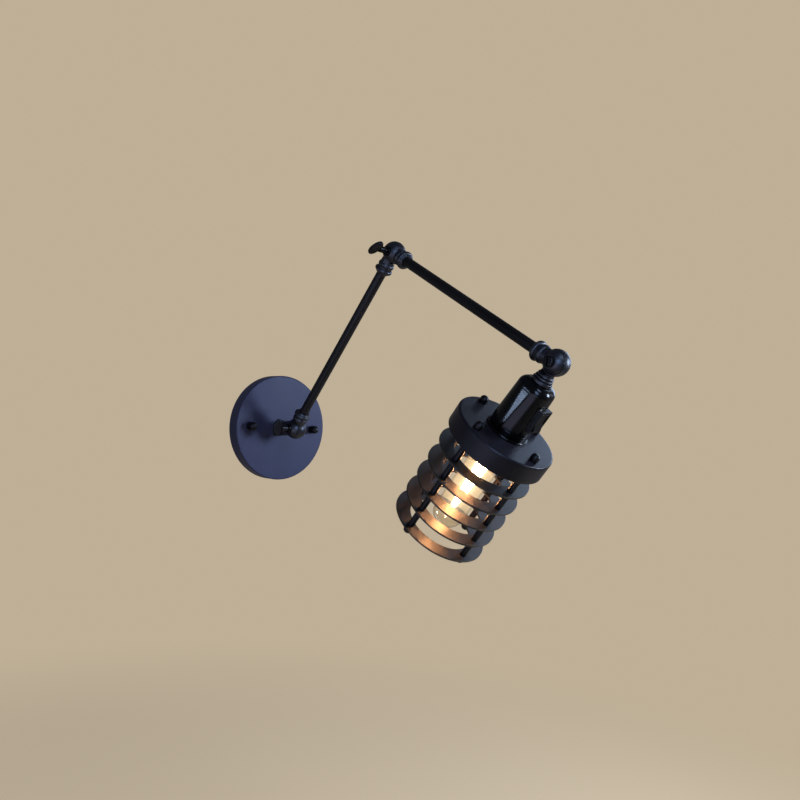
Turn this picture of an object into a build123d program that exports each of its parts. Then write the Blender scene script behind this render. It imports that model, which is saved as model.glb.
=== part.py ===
import os
from math import cos, radians, sin

from build123d import *

os.makedirs("parts", exist_ok=True)

# Swing arm wall lamp. Sizes are in millimetres and angles in degrees.
# The origin is on the wall, at the middle of the plate's back. The lamp reaches out along -Y, with +Z up.
# Both arms and the head lie in the plane X = 0, and the three knuckles hinge about X.

# Fits
running_fit = 0.05  # radial room round a screw, a tube or a pin
slip_fit = 0.15  # radial room round a piece that drops in
swing_gap = 0.6  # room between a ball and the lug that swings round it
rocker_gap = 0.4  # room round the switch rocker

# Wall plate
plate_diameter = 120.0
plate_depth = 15.0
plate_wall = 1.5
plate_edge = 1.2

# Bracket, screwed to the wall inside the plate
bracket_length = 100.0
bracket_width = 20.0
bracket_thickness = 2.0
stud_spacing = 85.0
stud_diameter = 4.0
hex_nut_flats = 7.0
hex_nut_height = 3.2
wall_slot_spacing = 60.0
wall_slot_length = 9.0
wall_slot_width = 5.0
supply_hole = 14.0
terminal_length = 12.0
terminal_width = 16.0
terminal_height = 8.0
terminal_spacing = 8.0
terminal_place = 17.5
terminal_screw_diameter = 3.0
terminal_screw_depth = 5.0
earth_place = -16.0
earth_screw_diameter = 4.0
earth_head_diameter = 8.0
earth_head_height = 2.5

# Domed nuts on the plate's studs and on both ends of the shade's tie rods
plate_nut_diameter = 9.1
plate_nut_height = 11.0
plate_nut_dome = 4.0
rod_nut_diameter = 7.8
rod_nut_height = 6.9
rod_nut_dome = 3.3
cap_nut_bore = 4.9
thread_in_cap_nut = 4.4

# Post on the plate, held by a hollow nipple
post_reach = 41.0
post_flange_diameter = 17.6
post_flange_height = 7.0
post_flange_edge = 0.9
nipple_diameter = 10.0
nipple_bore = 7.0
nipple_in_post = 9.0
nipple_tail = 1.5
nipple_nut_flats = 14.0
nipple_nut_height = 4.0

# Knuckles: a domed lug on the inner link lies beside a flat on the outer link's ball and completes the ball
ball_diameter = 23.0
ball_shift = 1.7
lug_thickness = 5.2
lug_face = -3.0
lap_washer_thickness = 0.5
lap_washer_diameter = 12.0
stem_diameter = 13.2
stem_flare = 14.8
bead_start = 12.4
bead_width = 4.6
stem_bead_diameter = 16.6
ring_bead_diameter = 18.4
groove_width = 1.2
ring_lip = 1.5
ring_lip_diameter = 12.6

# Knuckle screws
screw_diameter = 5.0
screw_in_ball = 9.0
shoulder_diameter = 9.6
shoulder_height = 2.0
thumb_neck_diameter = 6.4
thumb_neck_length = 8.5
paddle_reach = 11.0
paddle_width = 20.0
paddle_thickness = 3.8
paddle_edge = 1.7
paddle_root = 0.8
base_paddle_turn = -16.0
elbow_paddle_turn = -66.0
pivot_head_height = 3.2
pivot_head_dome = 1.6
pivot_slot_width = 1.2
pivot_slot_depth = 1.4

# Arms
tube_diameter = 10.0
tube_wall = 1.0
tube_length = 205.0
tube_seat = 15.0
lower_arm_angle = 51.0
upper_arm_angle = -29.5
head_angle = 39.0
cable_diameter = 6.0
cable_seat = 13.0

# Neck of the head
neck_diameter = 12.6
neck_start = 12.2
neck_bead_width = 2.6
upper_neck_bead_diameter = 15.0
lower_neck_bead_diameter = 16.6
neck_bead_rise = 1.2
neck_ring_width = 3.5
neck_ring_diameter = 18.4
neck_ring_edge = 0.9
socket_nipple_length = 15.0
socket_nipple_in_neck = 4.5

# Lamp socket
socket_side = 31.4
socket_corner = 12.6
socket_shoulder = 7.2
socket_shoulder_height = 8.5
socket_cap_length = 45.0
socket_skirt_diameter = 36.0
socket_skirt_height = 7.2
socket_skirt_edge = 0.6
socket_foot_diameter = 38.8
socket_foot_height = 1.6
socket_flat_end = 0.2
socket_top_wall = 4.0
socket_cavity_diameter = 26.4
insert_diameter = 31.0
insert_height = 7.5
shell_wall = 0.5
socket_thread_wall = 2.0
socket_thread_length = 11.3
contact_diameter = 8.0
contact_thickness = 1.0

# Rocker switch on one flat of the socket
switch_angle = 80.0
switch_place = 26.5
switch_face = 18.0
switch_root = 10.0
frame_height = 2.6
frame_wall = 1.7
rocker_radius = 9.0
rocker_width = 12.0
rocker_pivot = 16.5
rocker_bottom = 4.0
rocker_dip = 3.4
rocker_crest = 4.7
rocker_tilt = 8.0
rocker_pin_diameter = 2.0
rocker_pin_inset = 0.5

# Shade: a shallow cup, and flat rings spaced on four tie rods
cup_diameter = 93.0
cup_depth = 18.0
cup_wall = 1.5
cup_edge = 1.8
shade_nut_diameter = 42.0
shade_nut_height = 5.0
rod_circle_diameter = 75.0
rod_count = 4
ring_count = 5
ring_diameter = 90.0
ring_bore = 62.0
ring_thickness = 1.6
first_ring = 35.1
ring_pitch = 19.3
spacer_diameter = 5.8

# Tubular bulb
bulb_diameter = 29.0
bulb_length = 98.0
glass_wall = 0.8
bulb_cap_diameter = 26.1
bulb_cap_length = 16.0
bulb_cap_wall = 0.5
bulb_tip_height = 0.8
bulb_insulator_height = 2.7
bulb_insulator_lip = 1.5
glass_in_cap = 5.0
glass_neck_length = 9.0
stem_flange_height = 2.0
stem_foot_diameter = 6.0
stem_foot_length = 16.0
stem_rod_diameter = 2.4
filament_start = 18.0
filament_length = 58.0
filament_circle_diameter = 12.0
filament_end_diameter = 4.0
filament_wire = 0.7
filament_strands = 8
spider_thickness = 0.6
spider_rim = 0.8

# Worked out from the sizes above
hinge = Vector(1, 0, 0)
ball_radius = ball_diameter / 2
knuckle_room = ball_radius + swing_gap
ball_flat = lug_face + lap_washer_thickness
lug_outer = lug_face - lug_thickness
bead_end = bead_start + bead_width
ring_seat = bead_end + groove_width
ring_end = ring_seat + bead_width + ring_lip
tube_radius = tube_diameter / 2
arm_length = tube_length + 2 * tube_seat
nipple_radius = nipple_diameter / 2
screw_radius = screw_diameter / 2
stud_radius = stud_diameter / 2


def arm_direction(angle):
    return Vector(0, -cos(radians(angle)), sin(radians(angle)))


# Hinge centres, and a plane at each end of each link: local X is the hinge axis, local Z runs along the link
base_pivot = Vector(0, -post_reach, 0)
elbow_pivot = base_pivot + arm_direction(lower_arm_angle) * arm_length
head_pivot = elbow_pivot + arm_direction(upper_arm_angle) * arm_length
head_direction = Vector(0, sin(radians(head_angle)), -cos(radians(head_angle)))

wall = Plane(origin=(0, 0, 0), x_dir=hinge, z_dir=(0, -1, 0))
post = Plane(origin=base_pivot, x_dir=hinge, z_dir=(0, 1, 0))
lower_foot = Plane(origin=base_pivot, x_dir=hinge, z_dir=arm_direction(lower_arm_angle))
lower_top = Plane(origin=elbow_pivot, x_dir=hinge, z_dir=-arm_direction(lower_arm_angle))
upper_foot = Plane(origin=elbow_pivot, x_dir=hinge, z_dir=arm_direction(upper_arm_angle))
upper_end = Plane(origin=head_pivot, x_dir=hinge, z_dir=-arm_direction(upper_arm_angle))
head = Plane(origin=head_pivot, x_dir=hinge, z_dir=head_direction)


def side_plane(link):
    """Local X is the radius from the link's axis and local Y the distance along it."""
    return Plane(origin=link.origin, x_dir=link.x_dir, z_dir=link.x_dir.cross(link.z_dir))


def hinge_plane(pivot, distance):
    """Faces along the hinge axis, at a distance along it from the pivot."""
    return Plane(origin=pivot + hinge * distance, x_dir=(0, 1, 0), z_dir=hinge)


def turned(plane, angle):
    """The same plane, turned about its own Z."""
    x_dir = plane.x_dir * cos(radians(angle)) + plane.y_dir * sin(radians(angle))
    return Plane(origin=plane.origin, x_dir=x_dir, z_dir=plane.z_dir)


def link_axis(link):
    return Axis(link.origin, link.z_dir)


def hand_in(piece, name):
    piece.label = name
    export_step(piece, f"parts/{name}.step")


# Wall plate and what is behind it
stud_points = [(-stud_spacing / 2, 0), (stud_spacing / 2, 0)]
slot_points = [(-wall_slot_spacing / 2, 0), (wall_slot_spacing / 2, 0)]

with BuildPart() as wall_plate:
    with BuildSketch(wall):
        Circle(plate_diameter / 2)
    extrude(amount=plate_depth)
    fillet(wall_plate.edges().group_by(Axis.Y)[0], plate_edge)
    offset(amount=-plate_wall, openings=wall_plate.faces().sort_by(Axis.Y)[-1])
    with BuildSketch(wall):
        Circle(nipple_radius + slip_fit)
        with Locations(*stud_points):
            Circle(stud_radius + slip_fit)
    extrude(amount=plate_depth, mode=Mode.SUBTRACT)
hand_in(wall_plate.part, "wall_plate")

with BuildPart() as wall_bracket:
    with BuildSketch(wall):
        SlotOverall(bracket_length, bracket_width)
        Circle(supply_hole / 2, mode=Mode.SUBTRACT)
        with Locations(*stud_points):
            Circle(stud_radius + running_fit, mode=Mode.SUBTRACT)
        with Locations(*slot_points):
            SlotOverall(wall_slot_length, wall_slot_width, mode=Mode.SUBTRACT)
        with Locations((earth_place, 0)):
            Circle(earth_screw_diameter / 2 + running_fit, mode=Mode.SUBTRACT)
    extrude(amount=bracket_thickness)
hand_in(wall_bracket.part, "wall_bracket")

with BuildPart() as bracket_studs:
    with BuildSketch(wall):
        with Locations(*stud_points):
            Circle(stud_radius)
    extrude(amount=plate_depth + thread_in_cap_nut)
hand_in(bracket_studs.part, "bracket_studs")

bracket_front = wall.offset(bracket_thickness)

with BuildPart() as stud_nuts:
    with BuildSketch(bracket_front):
        with Locations(*stud_points):
            RegularPolygon(hex_nut_flats / 2, 6, major_radius=False)
            Circle(stud_radius + running_fit, mode=Mode.SUBTRACT)
    extrude(amount=hex_nut_height)
hand_in(stud_nuts.part, "stud_nuts")

terminal_points = [(terminal_place, -terminal_spacing / 2), (terminal_place, terminal_spacing / 2)]

with BuildPart() as terminal_block:
    with BuildSketch(bracket_front):
        with Locations((terminal_place, 0)):
            Rectangle(terminal_length, terminal_width)
    extrude(amount=terminal_height)
    with BuildSketch(bracket_front.offset(terminal_height)):
        with Locations(*terminal_points):
            Circle(terminal_screw_diameter / 2 + running_fit)
    extrude(amount=-terminal_screw_depth, mode=Mode.SUBTRACT)
hand_in(terminal_block.part, "terminal_block")

with BuildPart() as terminal_screws:
    with BuildSketch(bracket_front.offset(terminal_height)):
        with Locations(*terminal_points):
            Circle(terminal_screw_diameter / 2)
    extrude(amount=-terminal_screw_depth)
hand_in(terminal_screws.part, "terminal_screws")

with BuildPart() as earth_screw:
    with BuildSketch(wall):
        with Locations((earth_place, 0)):
            Circle(earth_screw_diameter / 2)
    extrude(amount=bracket_thickness)
    with BuildSketch(bracket_front):
        with Locations((earth_place, 0)):
            Circle(earth_head_diameter / 2)
    extrude(amount=earth_head_height)
hand_in(earth_screw.part, "earth_screw")


def cap_nuts(face, points, diameter, height, dome):
    """Domed nuts standing on a face, one at each point."""
    with BuildPart() as nuts:
        with BuildSketch(face):
            with Locations(*points):
                Circle(diameter / 2)
        extrude(amount=height)
        fillet(nuts.edges().group_by(link_axis(face))[-1], dome)
        with BuildSketch(face):
            with Locations(*points):
                Circle(stud_radius + running_fit)
        extrude(amount=cap_nut_bore, mode=Mode.SUBTRACT)
    return nuts.part


plate_face = wall.offset(plate_depth)
hand_in(
    cap_nuts(plate_face, stud_points, plate_nut_diameter, plate_nut_height, plate_nut_dome),
    "plate_cap_nuts",
)

nipple_start = plate_depth - plate_wall - nipple_nut_height - nipple_tail

with BuildPart() as post_nipple:
    with BuildSketch(wall.offset(nipple_start)):
        Circle(nipple_radius)
        Circle(nipple_bore / 2, mode=Mode.SUBTRACT)
    extrude(amount=plate_depth + nipple_in_post - nipple_start)
hand_in(post_nipple.part, "post_nipple")

with BuildPart() as nipple_nut:
    with BuildSketch(wall.offset(plate_depth - plate_wall)):
        RegularPolygon(nipple_nut_flats / 2, 6, major_radius=False)
        Circle(nipple_radius + running_fit, mode=Mode.SUBTRACT)
    extrude(amount=-nipple_nut_height)
hand_in(nipple_nut.part, "nipple_nut")


# Knuckles and arms
def stem_face(link, end):
    """Half section of a knuckle's stem: a slight flare, one bead, and a plain spigot up to end."""
    flare = stem_flare / 2
    with BuildSketch(side_plane(link)) as face:
        with BuildLine():
            Polyline((0, end), (0, 0), (stem_diameter / 2, 0), (flare, bead_start))
            ThreePointArc(
                (flare, bead_start),
                (stem_bead_diameter / 2, bead_start + bead_width / 2),
                (flare, bead_end),
            )
            Polyline((flare, bead_end), (flare, end), (0, end))
        make_face()
    return face.sketch


def flange_face(link, end, diameter, height, edge):
    """Half section of a flange that closes a stem at end, with its edge towards the pivot rounded."""
    radius = diameter / 2
    start = end - height
    with BuildSketch(side_plane(link)) as face:
        with BuildLine():
            Polyline((radius, start + edge), (radius, end), (0, end), (0, start), (radius - edge, start))
            RadiusArc((radius - edge, start), (radius, start + edge), -edge)
        make_face()
    return face.sketch


def tongue(link, spigot_end, bore_radius, bore_start, flange=None):
    """Inner half of a knuckle: a stem along the link and a domed lug beside the ball."""
    pivot = link.origin
    with BuildPart() as piece:
        revolve(stem_face(link, spigot_end), axis=link_axis(link))
        if flange:
            revolve(flange_face(link, spigot_end, *flange), axis=link_axis(link))
        with Locations(pivot + hinge * ball_shift):
            Sphere(ball_radius)
        with BuildSketch(hinge_plane(pivot, lug_face)):
            Circle(knuckle_room)
        extrude(amount=2 * knuckle_room, mode=Mode.SUBTRACT)
        with BuildSketch(hinge_plane(pivot, lug_outer)):
            Circle(knuckle_room)
        extrude(amount=-2 * knuckle_room, mode=Mode.SUBTRACT)
        with BuildSketch(hinge_plane(pivot, lug_outer)):
            Circle(screw_radius + running_fit)
        extrude(amount=lug_thickness, mode=Mode.SUBTRACT)
        with BuildSketch(link.offset(bore_start)):
            Circle(bore_radius + running_fit)
        extrude(amount=spigot_end - bore_start, mode=Mode.SUBTRACT)
    return piece.part


def ball(link, stem, bore_end, bore_radius, bore_start):
    """Outer half of a knuckle: a ball with a flat and a blind screw hole, on a stem along the link."""
    pivot = link.origin
    with BuildPart() as piece:
        with Locations(pivot + hinge * ball_shift):
            Sphere(ball_radius)
        revolve(stem, axis=link_axis(link))
        with BuildSketch(hinge_plane(pivot, ball_flat)):
            Circle(knuckle_room)
        extrude(amount=-2 * knuckle_room, mode=Mode.SUBTRACT)
        with BuildSketch(hinge_plane(pivot, ball_flat)):
            Circle(screw_radius + running_fit)
        extrude(amount=screw_in_ball, mode=Mode.SUBTRACT)
        with BuildSketch(link.offset(bore_start)):
            Circle(bore_radius + running_fit)
        extrude(amount=bore_end - bore_start, mode=Mode.SUBTRACT)
    return piece.part


def with_cable_hole(knuckle, link):
    """Deepens the tube's bore in a knuckle with the narrower hole that the cable's end sits in."""
    with BuildPart() as piece:
        add(knuckle)
        with BuildSketch(link.offset(cable_seat)):
            Circle(cable_diameter / 2 + running_fit)
        extrude(amount=tube_seat - cable_seat, mode=Mode.SUBTRACT)
    return piece.part


def arm_tongue(link):
    return with_cable_hole(tongue(link, ring_seat, tube_radius, tube_seat), link)


def arm_ball(link):
    return with_cable_hole(ball(link, stem_face(link, ring_seat), ring_seat, tube_radius, tube_seat), link)


def arm_ring(link):
    """Beaded ring that locks a tube's end in its knuckle."""
    inner = tube_radius + running_fit
    flare = stem_flare / 2
    bead_stop = ring_seat + bead_width
    with BuildPart() as piece:
        with BuildSketch(side_plane(link)):
            with BuildLine():
                Polyline((inner, ring_end), (inner, ring_seat), (flare, ring_seat))
                ThreePointArc(
                    (flare, ring_seat),
                    (ring_bead_diameter / 2, ring_seat + bead_width / 2),
                    (flare, bead_stop),
                )
                Polyline((flare, bead_stop), (ring_lip_diameter / 2, ring_end), (inner, ring_end))
            make_face()
        revolve(axis=link_axis(link))
    return piece.part


def arm_tube(link):
    with BuildPart() as piece:
        with BuildSketch(link.offset(tube_seat)):
            Circle(tube_radius)
            Circle(tube_radius - tube_wall, mode=Mode.SUBTRACT)
        extrude(amount=tube_length)
    return piece.part


def arm_cable(link):
    with BuildPart() as piece:
        with BuildSketch(link.offset(cable_seat)):
            Circle(cable_diameter / 2)
        extrude(amount=arm_length - 2 * cable_seat)
    return piece.part


def lap_washer(pivot):
    """Friction washer between a lug and a ball's flat."""
    with BuildPart() as piece:
        with BuildSketch(hinge_plane(pivot, lug_face)):
            Circle(lap_washer_diameter / 2)
            Circle(screw_radius + running_fit, mode=Mode.SUBTRACT)
        extrude(amount=lap_washer_thickness)
    return piece.part


def thumb_screw(pivot, turn):
    """Screw through a lug into a ball, with an oval paddle to turn it by."""
    across = Vector(0, sin(radians(turn)), cos(radians(turn)))
    neck_start = lug_outer - shoulder_height
    neck_end = neck_start - thumb_neck_length
    paddle_middle = pivot + hinge * (neck_end - paddle_reach / 2 + paddle_root)
    with BuildPart() as piece:
        with BuildSketch(Plane(origin=paddle_middle, x_dir=hinge, z_dir=hinge.cross(across))):
            Ellipse(paddle_reach / 2, paddle_width / 2)
        extrude(amount=paddle_thickness / 2, both=True)
        fillet(piece.edges().filter_by(GeomType.ELLIPSE), paddle_edge)
        with BuildSketch(hinge_plane(pivot, neck_end)):
            Circle(thumb_neck_diameter / 2)
        extrude(amount=thumb_neck_length)
        with BuildSketch(hinge_plane(pivot, neck_start)):
            Circle(shoulder_diameter / 2)
        extrude(amount=shoulder_height)
        with BuildSketch(hinge_plane(pivot, lug_outer)):
            Circle(screw_radius)
        extrude(amount=ball_flat + screw_in_ball - lug_outer)
    return piece.part


hand_in(
    tongue(
        post,
        post_reach - plate_depth,
        nipple_radius,
        post_reach - plate_depth - nipple_in_post,
        (post_flange_diameter, post_flange_height, post_flange_edge),
    ),
    "wall_post",
)
hand_in(lap_washer(base_pivot), "base_washer")
hand_in(thumb_screw(base_pivot, base_paddle_turn), "base_thumb_screw")

hand_in(arm_ball(lower_foot), "lower_arm_ball")
hand_in(arm_ring(lower_foot), "lower_arm_foot_ring")
hand_in(arm_tube(lower_foot), "lower_arm_tube")
hand_in(arm_cable(lower_foot), "lower_arm_cable")
hand_in(arm_ring(lower_top), "lower_arm_top_ring")
hand_in(arm_tongue(lower_top), "elbow_tongue")
hand_in(lap_washer(elbow_pivot), "elbow_washer")
hand_in(thumb_screw(elbow_pivot, elbow_paddle_turn), "elbow_thumb_screw")

hand_in(arm_ball(upper_foot), "upper_arm_ball")
hand_in(arm_ring(upper_foot), "upper_arm_foot_ring")
hand_in(arm_tube(upper_foot), "upper_arm_tube")
hand_in(arm_cable(upper_foot), "upper_arm_cable")
hand_in(arm_ring(upper_end), "upper_arm_end_ring")
hand_in(arm_tongue(upper_end), "head_tongue")
hand_in(lap_washer(head_pivot), "head_washer")

with BuildPart() as head_pivot_screw:
    with BuildSketch(hinge_plane(head_pivot, lug_outer)):
        Circle(shoulder_diameter / 2)
    extrude(amount=-pivot_head_height)
    fillet(head_pivot_screw.edges().group_by(Axis.X)[0], pivot_head_dome)
    with BuildSketch(hinge_plane(head_pivot, lug_outer - pivot_head_height)):
        Rectangle(pivot_slot_width, shoulder_diameter)
    extrude(amount=pivot_slot_depth, mode=Mode.SUBTRACT)
    with BuildSketch(hinge_plane(head_pivot, lug_outer)):
        Circle(screw_radius)
    extrude(amount=ball_flat + screw_in_ball - lug_outer)
hand_in(head_pivot_screw.part, "head_pivot_screw")

# Head: ball with a ridged neck, then the socket below it
neck_beads = [upper_neck_bead_diameter, lower_neck_bead_diameter]
neck_end = neck_start + neck_bead_width * len(neck_beads)
socket_top = neck_end + neck_ring_width

with BuildSketch(side_plane(head)) as neck_face:
    Rectangle(neck_diameter / 2, neck_start, align=(Align.MIN, Align.MIN))
    for index, diameter in enumerate(neck_beads):
        low = neck_start + neck_bead_width * index
        high = low + neck_bead_width
        foot = diameter / 2 - neck_bead_rise
        with BuildLine():
            Polyline((foot, high), (0, high), (0, low), (foot, low))
            ThreePointArc((foot, low), (diameter / 2, (low + high) / 2), (foot, high))
        make_face()

nipple_top = neck_end - socket_nipple_in_neck
hand_in(ball(head, neck_face.sketch, neck_end, nipple_radius, nipple_top), "head_ball")

with BuildPart() as neck_ring:
    with BuildSketch(head.offset(neck_end)):
        Circle(neck_ring_diameter / 2)
    extrude(amount=neck_ring_width)
    fillet(neck_ring.edges().filter_by(GeomType.CIRCLE), neck_ring_edge)
    with BuildSketch(head.offset(neck_end)):
        Circle(nipple_radius + running_fit)
    extrude(amount=neck_ring_width, mode=Mode.SUBTRACT)
hand_in(neck_ring.part, "neck_ring")

with BuildPart() as socket_nipple:
    with BuildSketch(head.offset(nipple_top)):
        Circle(nipple_radius)
        Circle(nipple_bore / 2, mode=Mode.SUBTRACT)
    extrude(amount=socket_nipple_length)
hand_in(socket_nipple.part, "socket_nipple")

# Socket cap: a rounded square under the shoulder that runs out to a circle at the skirt
socket = turned(head, switch_angle)
shoulder_end = socket_top + socket_shoulder_height
cap_end = socket_top + socket_cap_length
insert_top = cap_end - insert_height
cavity_top = socket_top + socket_top_wall
switch_middle = socket_top + switch_place
rocker_room = rocker_radius + rocker_gap
rocker_side = rocker_width / 2 + rocker_gap
frame_length = 2 * (rocker_room + frame_wall)
frame_width = 2 * (rocker_side + frame_wall)


def facing_switch(distance):
    """Faces out of the switch, at a distance from the socket's axis: local X runs down the socket."""
    middle = socket.origin + socket.z_dir * switch_middle + socket.x_dir * distance
    return Plane(origin=middle, x_dir=socket.z_dir, z_dir=socket.x_dir)


pivot_middle = socket.origin + socket.z_dir * switch_middle + socket.x_dir * rocker_pivot
rocker_plane = Plane(origin=pivot_middle, x_dir=socket.z_dir, z_dir=socket.z_dir.cross(socket.x_dir))

with BuildPart() as socket_cap:
    with BuildSketch(socket.offset(socket_top)):
        RectangleRounded(socket_side, socket_side, socket_corner)
    extrude(amount=socket_shoulder_height)
    fillet(socket_cap.edges().group_by(link_axis(head))[0], socket_shoulder)
    with BuildSketch(socket.offset(shoulder_end)):
        RectangleRounded(socket_side, socket_side, socket_corner)
    with BuildSketch(socket.offset(cap_end)):
        RectangleRounded(
            socket_skirt_diameter,
            socket_skirt_diameter,
            (socket_skirt_diameter - socket_flat_end) / 2,
        )
    loft()
    with BuildSketch(socket.offset(cavity_top)):
        Circle(socket_cavity_diameter / 2)
    extrude(amount=cap_end - cavity_top, mode=Mode.SUBTRACT)
    with BuildSketch(facing_switch(switch_root)):
        Rectangle(frame_length, frame_width)
    extrude(amount=switch_face - switch_root)
    with BuildSketch(socket.offset(insert_top)):
        Circle(insert_diameter / 2 + slip_fit)
    extrude(amount=insert_height, mode=Mode.SUBTRACT)
    with BuildSketch(facing_switch(0)):
        Rectangle(2 * rocker_room, 2 * rocker_side)
    extrude(amount=switch_face, mode=Mode.SUBTRACT)
    with BuildSketch(rocker_plane):
        Circle(rocker_pin_diameter / 2 + running_fit)
    extrude(amount=frame_width / 2 - rocker_pin_inset, both=True, mode=Mode.SUBTRACT)
    with BuildSketch(socket.offset(socket_top)):
        Circle(nipple_radius + slip_fit)
    extrude(amount=socket_top_wall, mode=Mode.SUBTRACT)
hand_in(socket_cap.part, "socket_cap")

with BuildPart() as switch_frame:
    with BuildSketch(facing_switch(switch_face)):
        Rectangle(frame_length, frame_width)
        Rectangle(2 * rocker_room, 2 * rocker_side, mode=Mode.SUBTRACT)
    extrude(amount=frame_height)
hand_in(switch_frame.part, "switch_frame")

tilted_rocker = turned(rocker_plane, rocker_tilt)

with BuildPart() as switch_rocker:
    with BuildSketch(tilted_rocker):
        Circle(rocker_radius)
        with BuildLine():
            Polyline(
                (-2 * rocker_radius, 2 * rocker_radius),
                (-2 * rocker_radius, 2 * rocker_crest - rocker_dip),
                (-rocker_radius, rocker_crest),
                (0, rocker_dip),
                (rocker_radius, rocker_crest),
                (2 * rocker_radius, 2 * rocker_crest - rocker_dip),
                (2 * rocker_radius, 2 * rocker_radius),
                close=True,
            )
        make_face(mode=Mode.SUBTRACT)
        with Locations((0, -rocker_bottom)):
            Rectangle(
                2 * rocker_radius,
                2 * rocker_radius,
                align=(Align.CENTER, Align.MAX),
                mode=Mode.SUBTRACT,
            )
        Circle(rocker_pin_diameter / 2 + running_fit, mode=Mode.SUBTRACT)
    extrude(amount=rocker_width / 2, both=True)
hand_in(switch_rocker.part, "switch_rocker")

with BuildPart() as rocker_pin:
    with BuildSketch(rocker_plane):
        Circle(rocker_pin_diameter / 2)
    extrude(amount=frame_width / 2 - rocker_pin_inset, both=True)
hand_in(rocker_pin.part, "rocker_pin")

# Skirt, insert, screw shell and contact
shell_inner = bulb_cap_diameter / 2 + slip_fit
shell_outer = shell_inner + shell_wall
skirt_bore = shell_outer + slip_fit
thread_radius = skirt_bore + socket_thread_wall
cup_top = cap_end + socket_skirt_height
socket_mouth = cup_top + socket_thread_length

with BuildPart() as socket_skirt:
    with BuildSketch(head.offset(cap_end)):
        Circle(socket_skirt_diameter / 2)
    extrude(amount=socket_skirt_height)
    fillet(socket_skirt.edges().group_by(link_axis(head))[0], socket_skirt_edge)
    with BuildSketch(head.offset(cup_top)):
        Circle(socket_foot_diameter / 2)
    extrude(amount=-socket_foot_height)
    foot_rims = socket_skirt.edges().filter_by(GeomType.CIRCLE).group_by(SortBy.RADIUS)[-1]
    fillet(foot_rims.sort_by(link_axis(head))[0], socket_skirt_edge)
    with BuildSketch(head.offset(cup_top)):
        Circle(thread_radius)
    extrude(amount=socket_thread_length)
    with BuildSketch(head.offset(cap_end)):
        Circle(skirt_bore)
    extrude(amount=socket_mouth - cap_end, mode=Mode.SUBTRACT)
hand_in(socket_skirt.part, "socket_skirt")

with BuildPart() as socket_insert:
    with BuildSketch(head.offset(insert_top)):
        Circle(insert_diameter / 2)
    extrude(amount=insert_height)
hand_in(socket_insert.part, "socket_insert")

with BuildPart() as screw_shell:
    with BuildSketch(head.offset(cap_end)):
        Circle(shell_outer)
        Circle(shell_inner, mode=Mode.SUBTRACT)
    extrude(amount=socket_mouth - cap_end)
hand_in(screw_shell.part, "screw_shell")

with BuildPart() as centre_contact:
    with BuildSketch(head.offset(cap_end)):
        Circle(contact_diameter / 2)
    extrude(amount=contact_thickness)
hand_in(centre_contact.part, "centre_contact")

# Shade cup and its clamping nut
with BuildPart() as shade_cup:
    with BuildSketch(head.offset(cup_top)):
        Circle(cup_diameter / 2)
    extrude(amount=cup_depth)
    fillet(shade_cup.edges().group_by(link_axis(head))[0], cup_edge)
    offset(amount=-cup_wall, openings=shade_cup.faces().sort_by(link_axis(head))[-1])
    with BuildSketch(head.offset(cup_top)):
        Circle(thread_radius + slip_fit)
        with PolarLocations(rod_circle_diameter / 2, rod_count):
            Circle(stud_radius + slip_fit)
    extrude(amount=cup_depth, mode=Mode.SUBTRACT)
hand_in(shade_cup.part, "shade_cup")

with BuildPart() as shade_nut:
    with BuildSketch(head.offset(cup_top + cup_wall)):
        Circle(shade_nut_diameter / 2)
        Circle(thread_radius + running_fit, mode=Mode.SUBTRACT)
    extrude(amount=shade_nut_height)
hand_in(shade_nut.part, "shade_nut")

# Rings on four tie rods, held apart by spacers
ring_tops = [cup_top + first_ring + ring_pitch * index for index in range(ring_count)]
cage_end = ring_tops[-1] + ring_thickness
rod_end = cage_end + thread_in_cap_nut
rod_points = [tuple(place.position)[:2] for place in PolarLocations(rod_circle_diameter / 2, rod_count)]

with BuildPart() as tie_rods:
    with BuildSketch(head.offset(cup_top - thread_in_cap_nut)):
        with Locations(*rod_points):
            Circle(stud_radius)
    extrude(amount=rod_end - cup_top + thread_in_cap_nut)
hand_in(tie_rods.part, "tie_rods")

cup_face = Plane(origin=(head.offset(cup_top)).origin, x_dir=hinge, z_dir=-head_direction)
rod_nut_sizes = (rod_nut_diameter, rod_nut_height, rod_nut_dome)
hand_in(cap_nuts(cup_face, rod_points, *rod_nut_sizes), "cup_cap_nuts")
hand_in(cap_nuts(head.offset(cage_end), rod_points, *rod_nut_sizes), "rod_nuts")


def spacers(spans):
    """Sleeves on every tie rod, one for each span given as its start and end along the head."""
    with BuildPart() as piece:
        for start, end in spans:
            with BuildSketch(head.offset(start)):
                with Locations(*rod_points):
                    Circle(spacer_diameter / 2)
                    Circle(stud_radius + running_fit, mode=Mode.SUBTRACT)
            extrude(amount=end - start)
    return piece.part


hand_in(spacers([(cup_top + cup_wall, ring_tops[0])]), "cup_spacers")
hand_in(
    spacers([(upper + ring_thickness, lower) for upper, lower in zip(ring_tops, ring_tops[1:])]),
    "ring_spacers",
)

for number, ring_top in enumerate(ring_tops, start=1):
    with BuildPart() as shade_ring:
        with BuildSketch(head.offset(ring_top)):
            Circle(ring_diameter / 2)
            Circle(ring_bore / 2, mode=Mode.SUBTRACT)
            with Locations(*rod_points):
                Circle(stud_radius + running_fit, mode=Mode.SUBTRACT)
        extrude(amount=ring_thickness)
    hand_in(shade_ring.part, f"shade_ring_{number}")

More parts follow.
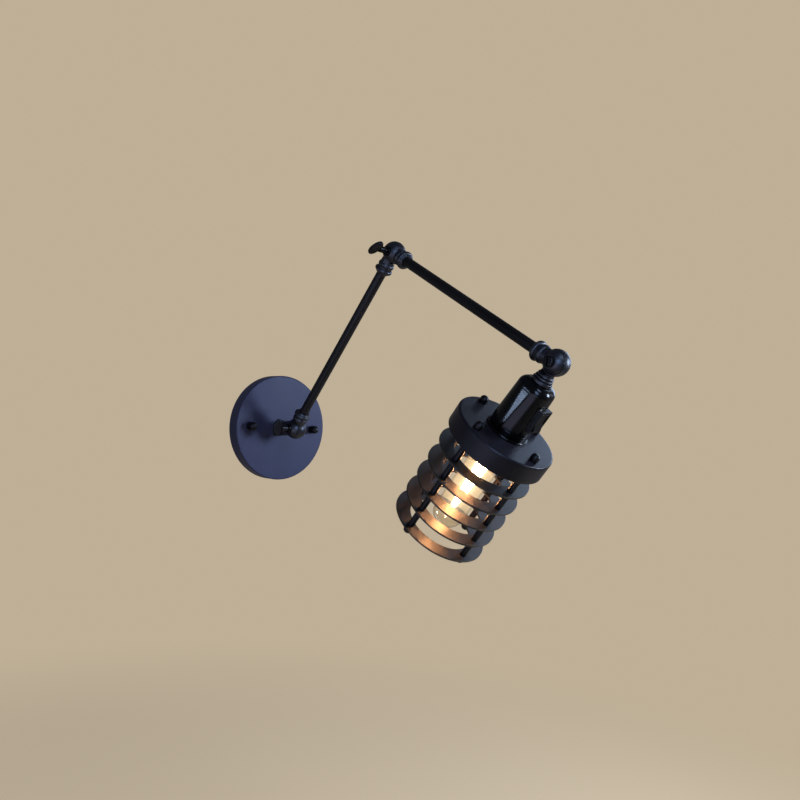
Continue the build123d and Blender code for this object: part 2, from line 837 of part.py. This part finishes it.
# Bulb, from the contact down
tip_top = cap_end + contact_thickness
insulator_top = tip_top + bulb_tip_height
bulb_cap_top = insulator_top + bulb_insulator_height
bulb_cap_end = bulb_cap_top + bulb_cap_length
bulb_cap_inner = bulb_cap_diameter / 2 - bulb_cap_wall
insulator_radius = bulb_cap_inner - running_fit
glass_top = bulb_cap_end - glass_in_cap
glass_end = bulb_cap_end + bulb_length
glass_neck = bulb_cap_inner - slip_fit
bulb_radius = bulb_diameter / 2

with BuildPart() as bulb_tip:
    with BuildSketch(head.offset(tip_top)):
        Circle(contact_diameter / 2)
    extrude(amount=bulb_tip_height)
hand_in(bulb_tip.part, "bulb_tip")

with BuildPart() as bulb_insulator:
    with BuildSketch(side_plane(head)):
        with BuildLine():
            Polyline(
                (0, insulator_top),
                (contact_diameter / 2, insulator_top),
                (insulator_radius, bulb_cap_top),
                (insulator_radius, bulb_cap_top + bulb_insulator_lip),
                (0, bulb_cap_top + bulb_insulator_lip),
                close=True,
            )
        make_face()
    revolve(axis=link_axis(head))
hand_in(bulb_insulator.part, "bulb_insulator")

with BuildPart() as bulb_cap:
    with BuildSketch(head.offset(bulb_cap_top)):
        Circle(bulb_cap_diameter / 2)
        Circle(bulb_cap_inner, mode=Mode.SUBTRACT)
    extrude(amount=bulb_cap_length)
hand_in(bulb_cap.part, "bulb_cap")


def bulb_outline(inset):
    """Half section of the glass: a neck in the cap, a taper, a straight wall and a round end."""
    neck = glass_neck - inset
    body = bulb_radius - inset
    dome_start = glass_end - bulb_radius
    with BuildSketch(side_plane(head)) as face:
        with BuildLine():
            Polyline(
                (0, glass_end - inset),
                (0, glass_top),
                (neck, glass_top),
                (neck, bulb_cap_end),
                (body, bulb_cap_end + glass_neck_length),
                (body, dome_start),
            )
            RadiusArc((body, dome_start), (0, glass_end - inset), -body)
        make_face()
    return face.sketch


with BuildPart() as bulb_glass:
    revolve(bulb_outline(0), axis=link_axis(head))
    revolve(bulb_outline(glass_wall), axis=link_axis(head), mode=Mode.SUBTRACT)
hand_in(bulb_glass.part, "bulb_glass")

# Glass stem and filament: strands that lean in, in pairs, between two thin discs on the stem's rod
strands_top = bulb_cap_end + filament_start
strands_end = strands_top + filament_length
stem_foot_end = glass_top + stem_flange_height + stem_foot_length

with BuildPart() as bulb_stem:
    with BuildSketch(head.offset(glass_top)):
        Circle(glass_neck - glass_wall - running_fit)
    extrude(amount=stem_flange_height)
    with BuildSketch(head.offset(glass_top + stem_flange_height)):
        Circle(stem_foot_diameter / 2)
    extrude(amount=stem_foot_length)
    with BuildSketch(head.offset(stem_foot_end)):
        Circle(stem_rod_diameter / 2)
    extrude(amount=strands_end + spider_thickness - stem_foot_end)
hand_in(bulb_stem.part, "bulb_stem")

with BuildPart() as filament_discs:
    discs = [(strands_top - spider_thickness, filament_circle_diameter), (strands_end, filament_end_diameter)]
    for top, diameter in discs:
        with BuildSketch(head.offset(top)):
            Circle(diameter / 2 + spider_rim)
            Circle(stem_rod_diameter / 2 + running_fit, mode=Mode.SUBTRACT)
        extrude(amount=spider_thickness)
hand_in(filament_discs.part, "filament_discs")

strand_step = 360 / filament_strands


def beside_axis(distance, diameter, angle):
    """Point at a distance along the head, on a circle round its axis, at an angle from the hinge."""
    across = diameter / 2 * cos(radians(angle))
    away = diameter / 2 * sin(radians(angle))
    return head.from_local_coords(Vector(across, away, distance))


with BuildPart() as filament:
    for number in range(filament_strands):
        pair_angle = (number // 2 * 2 + 0.5) * strand_step
        start = beside_axis(strands_top + running_fit, filament_circle_diameter, number * strand_step)
        stop = beside_axis(strands_end - running_fit, filament_end_diameter, pair_angle)
        with BuildSketch(Plane(origin=start, z_dir=stop - start)):
            Circle(filament_wire / 2)
        extrude(amount=(stop - start).length)
hand_in(filament.part, "filament")
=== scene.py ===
import math

import bpy
import numpy as np
from mathutils import Matrix, Vector


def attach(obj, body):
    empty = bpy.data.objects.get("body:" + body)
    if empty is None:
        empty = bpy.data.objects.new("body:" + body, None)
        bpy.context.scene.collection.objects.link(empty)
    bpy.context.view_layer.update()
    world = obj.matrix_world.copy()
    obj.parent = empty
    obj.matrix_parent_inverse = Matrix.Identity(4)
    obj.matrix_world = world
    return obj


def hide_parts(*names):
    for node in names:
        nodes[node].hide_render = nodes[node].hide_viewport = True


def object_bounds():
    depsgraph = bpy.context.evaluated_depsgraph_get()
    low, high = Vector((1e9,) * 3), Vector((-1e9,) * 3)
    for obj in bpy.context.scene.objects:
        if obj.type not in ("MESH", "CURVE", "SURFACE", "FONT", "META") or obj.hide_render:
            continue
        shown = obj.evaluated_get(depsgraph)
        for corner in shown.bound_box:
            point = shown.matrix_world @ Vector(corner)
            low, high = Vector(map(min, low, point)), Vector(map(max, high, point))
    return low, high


# Swing arm wall lamp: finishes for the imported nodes, a coiled filament, and a plain studio round them.
# Metres throughout. The wall is at y = 0, the lamp reaches out along -y, and z is up.

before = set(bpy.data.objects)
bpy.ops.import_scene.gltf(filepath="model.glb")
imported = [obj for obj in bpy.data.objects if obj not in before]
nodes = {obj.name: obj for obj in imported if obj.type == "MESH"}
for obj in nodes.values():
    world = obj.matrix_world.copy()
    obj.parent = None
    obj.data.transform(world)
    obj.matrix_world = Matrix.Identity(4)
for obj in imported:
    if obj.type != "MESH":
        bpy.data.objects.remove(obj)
cadLow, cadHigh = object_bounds()
print("frame loaded,", len(nodes), "nodes")

white = (1.0, 1.0, 1.0)
fullTurn = 2 * np.pi


# a new shader node; a value that is a socket is linked to its input, any other is set on it
def put(tree, kind, values=(), **settings):
    node = tree.nodes.new("ShaderNode" + kind)
    for key, value in settings.items():
        setattr(node, key, value)
    for key, value in dict(values).items():
        if isinstance(value, bpy.types.NodeSocket):
            tree.links.new(value, node.inputs[key])
        else:
            node.inputs[key].default_value = value
    return node


# an empty material, its tree and its output
def freshMaterial(name):
    mat = bpy.data.materials.new(name)
    mat.use_nodes = True
    mat.node_tree.nodes.clear()
    return mat, mat.node_tree, put(mat.node_tree, "OutputMaterial")


# a colour with its alpha
def opaque(colour):
    return (*colour, 1.0)


# places in the piece's own frame, so that a finish moves with its piece
def objectPlace(tree):
    return put(tree, "TexCoord").outputs["Object"]


# cloudy values about one half
def noise(tree, where, scale, detail=2.0, rough=0.5):
    values = {"Vector": where, "Scale": scale, "Detail": detail, "Roughness": rough}
    return put(tree, "TexNoise", values).outputs["Fac"]


# two colours, blended evenly between the places given for them
def ramp(tree, factor, dark, pale, darkAt=0.3, paleAt=0.7):
    node = put(tree, "ValToRGB", {"Fac": factor})
    first, last = node.color_ramp.elements
    first.position, first.color = darkAt, opaque(dark)
    last.position, last.color = paleAt, opaque(pale)
    return node.outputs["Color"]


# a straight line from low to high as the factor runs over its own range
def between(tree, factor, low, high, fromLow=0.0, fromHigh=1.0):
    values = {"Value": factor, "From Min": fromLow, "From Max": fromHigh, "To Min": low, "To Max": high}
    return put(tree, "MapRange", values).outputs["Result"]


# the same as an S-shaped rise or fall, as the value runs from start to end
def ease(tree, value, start, end, low=0.0, high=1.0):
    values = {"Value": value, "From Min": start, "From Max": end, "To Min": low, "To Max": high}
    return put(tree, "MapRange", values, interpolation_type="SMOOTHSTEP").outputs["Result"]


# a product, a power or the larger of two values
def work(tree, operation, first, second):
    return put(tree, "Math", {0: first, 1: second}, operation=operation).outputs[0]


# the first colour at 0 and the second at 1
def blend(tree, factor, first, second):
    values = {"Factor": factor, "A": first, "B": second}
    return put(tree, "Mix", values, data_type="RGBA").outputs["Result"]


# the first shader at 0 and the second at 1
def blendShaders(tree, factor, first, second):
    return put(tree, "MixShader", {0: factor, 1: first.outputs[0], 2: second.outputs[0]})


# the normal, tilted by the slope of a height
def bump(tree, height, strength, distance, normal):
    values = {"Height": height, "Strength": strength, "Distance": distance, "Normal": normal}
    return put(tree, "Bump", values).outputs["Normal"]


# what all solid finishes share: how their noises are made, where colour and roughness change, and how high
# the bumps stand
solidSkin = dict(cloud=dict(detail=4.0, rough=0.6), grain=dict(detail=2.0, rough=0.5),
                 wave=dict(detail=1.0, rough=0.4), colourStops=(0.32, 0.68), roughStops=(0.3, 0.7),
                 grainHeight=0.0002, waveHeight=0.001, edgeSamples=6)


# a cloud of noise blends the colour and the roughness; the normal is rounded at the edges, then tilted by a
# fine grain and by a slow wave
def solidFinish(name, look):
    mat, tree, out = freshMaterial(name)
    where = objectPlace(tree)
    cloud = noise(tree, where, look["cloudScale"], **solidSkin["cloud"])
    grain = noise(tree, where, look["grainScale"], **solidSkin["grain"])
    wave = noise(tree, where, look["waveScale"], **solidSkin["wave"])
    colour = ramp(tree, cloud, look["dark"], look["pale"], *solidSkin["colourStops"])
    rough = between(tree, cloud, look["smooth"], look["rough"], *solidSkin["roughStops"])
    edge = put(tree, "Bevel", {"Radius": look["edge"]}, samples=solidSkin["edgeSamples"])
    fine = bump(tree, grain, look["grainDepth"], solidSkin["grainHeight"], edge.outputs["Normal"])
    slow = bump(tree, wave, look["waveDepth"], solidSkin["waveHeight"], fine)
    shader = put(tree, "BsdfPrincipled", {
        "Base Color": colour, "Roughness": rough, "Normal": slow, "Metallic": look["metal"],
        "Specular IOR Level": look["specular"], "Specular Tint": opaque(look["specularTint"])})
    tree.links.new(shader.outputs[0], out.inputs["Surface"])
    return mat


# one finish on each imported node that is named
def dress(material, *names):
    for name in names:
        mesh = nodes[name].data
        mesh.materials.clear()
        mesh.materials.append(material)


# paint on the wall plate, with a fine powder grain: its satin slate blue is painted sheen, a lighter and
# bluer copy of the lamp's black paint, and its blue specular tint, which the other black paints take from it,
# paints the cool colour of their sheen
plateSheenPaint = dict(dark=(0.0195, 0.0220, 0.054), pale=(0.0275, 0.0310, 0.071), smooth=0.40, rough=0.48,
                  cloudScale=26.0, grainScale=1500.0, grainDepth=0.10, waveScale=160.0, waveDepth=0.03,
                  metal=0.0, specular=0.12, specularTint=(0.62, 0.74, 1.0), edge=0.0006)
dress(solidFinish("plateBlackPaintedSheen", plateSheenPaint), "wall_plate")

# a deeper black on the cup, and rings that are blacker still and shine more, so that they mirror the filament
cupPaint = dict(plateSheenPaint, dark=(0.0062, 0.0060, 0.0095), pale=(0.0100, 0.0096, 0.0150), smooth=0.34,
                rough=0.40, grainDepth=0.05, edge=0.0010)
dress(solidFinish("blackCupPaint", cupPaint), "shade_cup")
ringPaint = dict(cupPaint, dark=(0.0012, 0.0010, 0.0013), pale=(0.0021, 0.0018, 0.0022), smooth=0.42,
                 rough=0.48, specular=0.34, specularTint=white, edge=0.0004)
shadeRings = [f"shade_ring_{number}" for number in range(1, 6)]
dress(solidFinish("blackRingPaint", ringPaint), *shadeRings)

# paint on the tubes: dark and even, with little shine
tubePaint = dict(plateSheenPaint, dark=(0.0044, 0.0038, 0.0046), pale=(0.0066, 0.0058, 0.0068), smooth=0.34,
                 rough=0.42, grainDepth=0.02, waveScale=90.0, waveDepth=0.004, specular=0.15, edge=0.00008)
dress(solidFinish("blackTubePaint", tubePaint), "lower_arm_tube", "upper_arm_tube", "cup_spacers",
      "ring_spacers")

# paint on the cast knuckles: shinier than on the tubes, with a coarser grain and a closer wave; its faint
# blue is painted sheen
castPaint = dict(tubePaint, dark=(0.0048, 0.0045, 0.0072), pale=(0.0080, 0.0075, 0.0120), smooth=0.36,
                 rough=0.44, grainScale=900.0, waveScale=240.0, specular=0.34)
dress(solidFinish("castKnucklePaint", castPaint), "wall_post", "lower_arm_ball", "lower_arm_foot_ring",
      "lower_arm_top_ring", "elbow_tongue", "upper_arm_ball", "upper_arm_foot_ring", "upper_arm_end_ring",
      "head_tongue", "head_ball", "neck_ring")

# blackened screws and nuts
blackSteel = dict(castPaint, dark=(0.0038, 0.0036, 0.0046), pale=(0.0064, 0.0060, 0.0078), smooth=0.30,
                  rough=0.38, specular=0.12)
dress(solidFinish("blackenedSteel", blackSteel), "plate_cap_nuts", "cup_cap_nuts", "rod_nuts",
      "base_thumb_screw", "elbow_thumb_screw", "head_pivot_screw")

# polished black moulding of the lamp socket, and a duller one for its switch; their blue specular tint paints
# the cool colour of their highlights
socketMoulding = dict(dark=(0.0020, 0.0020, 0.0025), pale=(0.0034, 0.0034, 0.0042), smooth=0.13, rough=0.19,
                      cloudScale=60.0, grainScale=700.0, grainDepth=0.01, waveScale=120.0, waveDepth=0.01,
                      metal=0.0, specular=0.14, specularTint=(0.66, 0.78, 1.0), edge=0.0003)
dress(solidFinish("polishedMoulding", socketMoulding), "socket_cap", "socket_skirt", "shade_nut")
switchMoulding = dict(socketMoulding, smooth=0.34, rough=0.42, grainDepth=0.03, specular=0.10, edge=0.0004)
dress(solidFinish("switchMoulding", switchMoulding), "switch_frame", "switch_rocker")

# metal pieces inside
zincPlate = dict(dark=(0.42, 0.42, 0.40), pale=(0.60, 0.60, 0.57), smooth=0.28, rough=0.42, cloudScale=90.0,
                 grainScale=1200.0, grainDepth=0.10, waveScale=200.0, waveDepth=0.05, metal=1.0, specular=0.5,
                 specularTint=white, edge=0.0003)
dress(solidFinish("zincPlate", zincPlate), "wall_bracket", "bracket_studs", "stud_nuts", "earth_screw",
      "post_nipple", "nipple_nut", "socket_nipple", "tie_rods", "rocker_pin")
pressedBrass = dict(zincPlate, dark=(0.55, 0.37, 0.15), pale=(0.74, 0.54, 0.26), smooth=0.22, rough=0.36)
dress(solidFinish("pressedBrass", pressedBrass), "terminal_screws", "centre_contact", "screw_shell",
      "bulb_cap", "bulb_tip")

# porcelain and pale moulding inside
glazedPorcelain = dict(dark=(0.72, 0.70, 0.65), pale=(0.84, 0.83, 0.78), smooth=0.10, rough=0.18,
                       cloudScale=70.0, grainScale=500.0, grainDepth=0.03, waveScale=140.0, waveDepth=0.06,
                       metal=0.0, specular=0.5, specularTint=white, edge=0.0003)
dress(solidFinish("glazedPorcelain", glazedPorcelain), "socket_insert", "bulb_insulator")
terminalMoulding = dict(glazedPorcelain, dark=(0.70, 0.70, 0.66), pale=(0.80, 0.80, 0.76), smooth=0.40,
                        rough=0.50, grainDepth=0.12)
dress(solidFinish("terminalMoulding", terminalMoulding), "terminal_block")

# washers, cables and the discs that carry the filament
fibreWasher = dict(dark=(0.035, 0.024, 0.020), pale=(0.060, 0.042, 0.034), smooth=0.60, rough=0.75,
                   cloudScale=300.0, grainScale=1800.0, grainDepth=0.20, waveScale=400.0, waveDepth=0.05,
                   metal=0.0, specular=0.4, specularTint=white, edge=0.0003)
dress(solidFinish("fibreWasher", fibreWasher), "base_washer", "elbow_washer", "head_washer")
cableSheath = dict(fibreWasher, dark=(0.012, 0.012, 0.012), pale=(0.022, 0.022, 0.022))
dress(solidFinish("cableSheath", cableSheath), "lower_arm_cable", "upper_arm_cable")
supportWire = dict(fibreWasher, dark=(0.045, 0.042, 0.038), pale=(0.070, 0.066, 0.060), specular=0.1)
dress(solidFinish("supportWire", supportWire), "filament_discs")
print("solid finishes on the packed nodes")


# the head's own axes: across is x, away points from the wall, along runs down the bulb
headFrame = dict(pivot=(0.0, -0.3934239, 0.0669098), lean=math.radians(39.0))
leanSine, leanCosine = math.sin(headFrame["lean"]), math.cos(headFrame["lean"])
headAcross = np.array([1.0, 0.0, 0.0])
headAway = np.array([0.0, -leanCosine, -leanSine])
headAlong = np.array([0.0, leanSine, -leanCosine])


# Clear glass: its tint deepens and its mirror grows by powers of how far the wall turns from the eye. The
# glass also emits a painted glow for the filament's light in it, strongest where the wall faces the eye, and
# fading out about the filament's end.
def glassFinish(name, look):
    mat, tree, out = freshMaterial(name)
    where = objectPlace(tree)
    streak = noise(tree, where, look["streakScale"], look["streakDetail"], look["streakRough"])
    turned = put(tree, "LayerWeight", {"Blend": look["turnBlend"]}).outputs["Facing"]
    tint = ramp(tree, streak, look["tintDark"], look["tintPale"])
    edge = work(tree, "POWER", turned, look["edgePower"])
    clear = put(tree, "BsdfTransparent", {"Color": blend(tree, edge, tint, opaque(look["edgeTint"]))})
    mirror = put(tree, "BsdfGlossy", {"Color": opaque(white), "Roughness": look["roughness"]})
    rim = work(tree, "POWER", turned, look["rimPower"])
    wall = blendShaders(tree, between(tree, rim, look["shineFront"], look["shineRim"]), clear, mirror)
    along = put(tree, "VectorMath", {0: where, 1: tuple(headAlong)}, operation="DOT_PRODUCT")
    pivotAlong = float(headAlong @ np.array(headFrame["pivot"]))
    start, end = (pivotAlong + look[key] for key in ("glowStart", "glowEnd"))
    fade = ease(tree, along.outputs["Value"], start, end, 1.0, 0.0)
    faced = work(tree, "POWER", between(tree, turned, 1.0, 0.0), look["facingGlowPower"])
    level = work(tree, "MULTIPLY", fade, between(tree, faced, look["glow"], look["facingGlow"]))
    glow = put(tree, "Emission", {"Color": opaque(look["glowColour"]), "Strength": level})
    both = put(tree, "AddShader", {0: wall.outputs[0], 1: glow.outputs[0]})
    tree.links.new(both.outputs[0], out.inputs["Surface"])
    return mat


bulbWall = dict(tintDark=(0.96, 0.93, 0.87), tintPale=(0.99, 0.97, 0.93), edgeTint=(0.34, 0.25, 0.17),
                edgePower=7.0, streakScale=40.0, streakDetail=3.0, streakRough=0.6, turnBlend=0.5,
                roughness=0.03, rimPower=3.0, shineFront=0.03, shineRim=0.20, glowColour=(1.0, 0.74, 0.43),
                glow=0.12, facingGlow=1.30, facingGlowPower=10.0, glowStart=0.148, glowEnd=0.174)
dress(glassFinish("clearGlass", bulbWall), "bulb_glass")
# the stem's glass carries the same painted glow
stemWall = dict(bulbWall, tintDark=(0.92, 0.90, 0.86), tintPale=(0.97, 0.96, 0.93), glow=0.6, facingGlow=0.6)
dress(glassFinish("stemGlass", stemWall), "bulb_stem")
for name in ("bulb_glass", "bulb_stem"):        # bounced light passes the glass, and throws no stray sparks
    nodes[name].visible_diffuse = nodes[name].visible_glossy = False
print("glass set")


# mesh from a whole grid of points, rows x columns x 3: each row is a closed ring, rings are joined by bands
# of quads that face row x column, and the first and last ring may be closed by one face
def gridMesh(name, points, startCap=False, endCap=False):
    rows, columns = points.shape[:2]
    at = np.arange(rows * columns).reshape(rows, columns)
    ring = np.hstack([at, at[:, :1]])
    corners = [ring[:-1, :-1], ring[1:, :-1], ring[1:, 1:], ring[:-1, 1:]]
    faces = np.stack(corners, axis=-1).reshape(-1, 4).tolist()
    if startCap:
        faces.append(at[0].tolist())
    if endCap:
        faces.append(at[-1, ::-1].tolist())
    mesh = bpy.data.meshes.new(name)
    mesh.from_pydata(points.reshape(-1, 3).tolist(), [], faces)
    mesh.polygons.foreach_set("use_smooth", np.ones(len(mesh.polygons), bool))
    mesh.update()
    return mesh


# a mesh with its finish, as an object at the origin
def addPiece(name, mesh, material):
    piece = bpy.data.objects.new(name, mesh)
    bpy.context.scene.collection.objects.link(piece)
    piece.data.materials.append(material)
    return piece


# the head's pivot, plus each distance times its own axis
def inHead(across, away, along):
    spots = across[..., None] * headAcross + away[..., None] * headAway + along[..., None] * headAlong
    return spots + np.array(headFrame["pivot"])


# a dull wire that glows, hotter in some places than in others
def glowFinish(name, look):
    mat, tree, out = freshMaterial(name)
    flicker = noise(tree, objectPlace(tree), look["flickerScale"])
    glow = ramp(tree, flicker, look["coolColour"], look["hotColour"])
    shader = put(tree, "BsdfPrincipled", {
        "Base Color": opaque(look["wireColour"]), "Specular IOR Level": 0.0, "Emission Color": glow,
        "Emission Strength": look["strength"]})
    tree.links.new(shader.outputs[0], out.inputs["Surface"])
    return mat


# Filament: each strand is a fine helix about a straight line, and the wire is a circle carried along it
filamentCoil = dict(strands=8, topCircle=0.0060, endCircle=0.0020, endGap=0.36, top=0.1044, end=0.1624,
                    coil=0.00036, wire=0.00017, pitch=0.0008, stepsPerTurn=9, sides=5, strength=185.0,
                    flickerScale=300.0, wireColour=(0.010, 0.008, 0.006), coolColour=(1.0, 0.40, 0.14),
                    hotColour=(1.0, 0.49, 0.20))


# strands x steps x sides: a line from the top circle to the end circle, where neighbours come together in
# pairs, plus the helix's circle about that line, plus the wire's own circle
def coilPoints(look):
    turns = (look["end"] - look["top"]) / look["pitch"]
    travel = np.linspace(0.0, 1.0, int(turns * look["stepsPerTurn"]))[None, :, None]
    number = np.arange(look["strands"])[:, None, None]
    step = fullTurn / look["strands"]
    topAngle = number * step
    pairMiddle = (number // 2 * 2 + 0.5) * step
    endAngle = pairMiddle + (number % 2 - 0.5) * 2 * look["endGap"]     # to either side of its pair's middle
    side = (np.arange(look["sides"]) * fullTurn / look["sides"])[None, None, :]
    twist = travel * turns * fullTurn
    reach = look["coil"] + look["wire"] * np.cos(side)       # distance from the strand's line
    topReach, endReach = (1 - travel) * look["topCircle"], travel * look["endCircle"]
    across = topReach * np.cos(topAngle) + endReach * np.cos(endAngle) + reach * np.cos(twist)
    away = topReach * np.sin(topAngle) + endReach * np.sin(endAngle) + reach * np.sin(twist)
    along = look["top"] + travel * (look["end"] - look["top"]) + look["wire"] * np.sin(side)
    return inHead(*np.broadcast_arrays(across, away, along))


glowWire = glowFinish("glowingWire", filamentCoil)
for number, strand in enumerate(coilPoints(filamentCoil)):
    mesh = gridMesh(f"strand{number}", strand, startCap=True, endCap=True)
    piece = addPiece(f"filament_strand_{number + 1}", mesh, glowWire)
    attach(piece, "lamp_head")
    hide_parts("filament")
print("filament coiled,", filamentCoil["strands"], "strands")


# studio: a pale floor that fades into a pale room with a dark ceiling
studio = dict(floorGap=0.46, floorRings=(0.0005, 0.3, 1.0, 2.0, 6.0), floorSides=96, floorScale=3.0,
              floorDark=(0.90, 0.70, 0.45), floorPale=(0.93, 0.73, 0.48), floorRough=0.85, fadeStart=0.45,
              fadeEnd=1.25, plainShare=0.6, shineShare=0.24, roomColour=(0.52, 0.43, 0.31),
              fillColour=(0.13, 0.14, 0.16), ceilingColour=(0.03, 0.03, 0.033), ceilingStart=0.40,
              ceilingEnd=0.62)


# 1 for rays from the eye and through glass, and a share for rays from shine, because black paint shows little
# of a room
def shownRays(tree, look):
    path = put(tree, "LightPath").outputs
    shine = work(tree, "MULTIPLY", path["Is Glossy Ray"], look["shineShare"])
    seen = work(tree, "MAXIMUM", path["Is Camera Ray"], path["Is Transmission Ray"])
    return work(tree, "MAXIMUM", seen, shine)


# the floor shows partly its lit colour, shadow and all, and partly the room's plain one; it fades out with
# its level distance from the origin, and is clear from below, so that the lamp shows
def floorFinish(name, look):
    mat, tree, out = freshMaterial(name)
    where = objectPlace(tree)
    colour = ramp(tree, noise(tree, where, look["floorScale"]), look["floorDark"], look["floorPale"])
    lit = put(tree, "BsdfPrincipled", {
        "Base Color": colour, "Roughness": look["floorRough"], "Specular IOR Level": 0.0})
    plain = put(tree, "Emission", {"Color": opaque(look["roomColour"])})
    share = work(tree, "MULTIPLY", shownRays(tree, look), look["plainShare"])
    paled = blendShaders(tree, share, lit, plain)
    level = put(tree, "VectorMath", {0: where, 1: (1.0, 1.0, 0.0)}, operation="MULTIPLY").outputs["Vector"]
    distance = put(tree, "VectorMath", {0: level}, operation="LENGTH").outputs["Value"]
    fade = ease(tree, distance, look["fadeStart"], look["fadeEnd"])
    under = put(tree, "NewGeometry").outputs["Backfacing"]
    beyond = put(tree, "BsdfTransparent", {"Color": opaque(white)})
    mixed = blendShaders(tree, work(tree, "MAXIMUM", fade, under), paled, beyond)
    tree.links.new(mixed.outputs[0], out.inputs["Surface"])
    return mat


# rings x sides: each radius swept through a full turn, at one height below the lamp's lowest point
def floorPoints(look):
    sweep = np.linspace(0.0, fullTurn, look["floorSides"] + 1)[:-1][None, :]
    radius = np.array(look["floorRings"])[:, None]
    height = cadLow.z - look["floorGap"]
    return np.stack(np.broadcast_arrays(radius * np.cos(sweep), radius * np.sin(sweep), height), axis=-1)


floorMesh = gridMesh("floor", floorPoints(studio), startCap=True)
floor = addPiece("floor", floorMesh, floorFinish("paleFloor", studio))


# the room shows its pale colour to the eye and through glass, a share of it to shine, and gives an even fill
# to the rest; shine sees a dark ceiling overhead
def paleRoom(name, look):
    world = bpy.data.worlds.new(name)
    world.use_nodes = True
    tree = world.node_tree
    upward = put(tree, "SeparateXYZ", {"Vector": put(tree, "TexCoord").outputs["Generated"]}).outputs["Z"]
    overhead = ease(tree, upward, look["ceilingStart"], look["ceilingEnd"])
    shaded = work(tree, "MULTIPLY", overhead, put(tree, "LightPath").outputs["Is Glossy Ray"])
    around = blend(tree, shaded, opaque(look["roomColour"]), opaque(look["ceilingColour"]))
    colour = blend(tree, shownRays(tree, look), opaque(look["fillColour"]), around)
    tree.links.new(colour, tree.nodes["Background"].inputs["Color"])
    return world


bpy.context.scene.world = paleRoom("paleRoom", studio)


# a rectangle of light that the eye doesn't see, turned from its place towards its aim
def addSoftBox(name, look):
    lamp = bpy.data.lights.new(name, "AREA")
    lamp.shape = "RECTANGLE"
    lamp.size, lamp.size_y = look["size"]
    lamp.energy = look["power"]
    lamp.color = look["colour"]
    box = bpy.data.objects.new(name, lamp)
    bpy.context.scene.collection.objects.link(box)
    box.location = look["place"]
    box.visible_camera = False
    box.rotation_euler = (Vector(look["aim"]) - Vector(look["place"])).to_track_quat("-Z", "Y").to_euler()
    return box


lampMiddle = tuple((cadLow + cadHigh) / 2)
coolWhite = (0.76, 0.85, 1.0)
skyBlue = (0.55, 0.72, 1.0)
palePink = (0.98, 0.86, 1.0)
softBoxes = dict(
    keyBox=dict(place=(0.85, -1.00, 0.18), aim=lampMiddle, size=(0.32, 0.36), power=17.0, colour=coolWhite),
    sideBox=dict(place=(1.25, -0.20, 0.45), aim=(0.0, -0.33, 0.0), size=(0.6, 0.7), power=5.6,
                 colour=skyBlue),
    stripBox=dict(place=(-1.30, 0.05, 0.03), aim=(0.0, -0.36, 0.0), size=(0.06, 0.28), power=3.0,
                  colour=coolWhite),
    topBox=dict(place=(-0.14, -1.40, 0.92), aim=(0.0, -0.35, 0.0), size=(0.48, 0.48), power=8.6,
                colour=coolWhite))
shineCards = dict(
    frontCard=dict(place=(-0.75, -1.25, 0.20), aim=lampMiddle, size=(0.5, 0.6), power=14.0, colour=skyBlue),
    lowCard=dict(place=(-0.72, -0.56, -0.38), aim=(0.0, -0.36, 0.0), size=(0.9, 0.5), power=4.2,
                 colour=palePink))
for name, look in softBoxes.items():
    addSoftBox(name, look)
for name, look in shineCards.items():
    addSoftBox(name, look).visible_diffuse = False       # only the shine sees a card
print("studio lit,", len(softBoxes), "soft boxes and", len(shineCards), "cards")


# camera: where it stands, which way it looks back from the lamp, and its roll, in degrees
cameraView = dict(place=(-0.51794, -0.76969, 0.00228), azimuth=-42.913, elevation=-2.425, roll=3.596,
                  lens=35.188, sensor=36.0)


# back points from the lamp to the camera, by its azimuth and elevation; right and up start level and upright,
# and are turned about it by the roll
def addCamera(look):
    turn, rise, roll = (math.radians(look[key]) for key in ("azimuth", "elevation", "roll"))
    back = Vector((math.sin(turn) * math.cos(rise), -math.cos(turn) * math.cos(rise), math.sin(rise)))
    level = Vector((0, 0, 1)).cross(back).normalized()
    upright = back.cross(level)
    right = math.cos(roll) * level + math.sin(roll) * upright
    up = math.cos(roll) * upright - math.sin(roll) * level
    data = bpy.data.cameras.new("camera")
    data.lens = look["lens"]
    data.sensor_width = look["sensor"]
    camera = bpy.data.objects.new("camera", data)
    bpy.context.scene.collection.objects.link(camera)
    turned = Matrix((right, up, back)).transposed().to_4x4()
    camera.matrix_world = Matrix.Translation(look["place"]) @ turned
    return camera


bpy.context.scene.camera = addCamera(cameraView)
bpy.context.scene.view_settings.view_transform = "Standard"
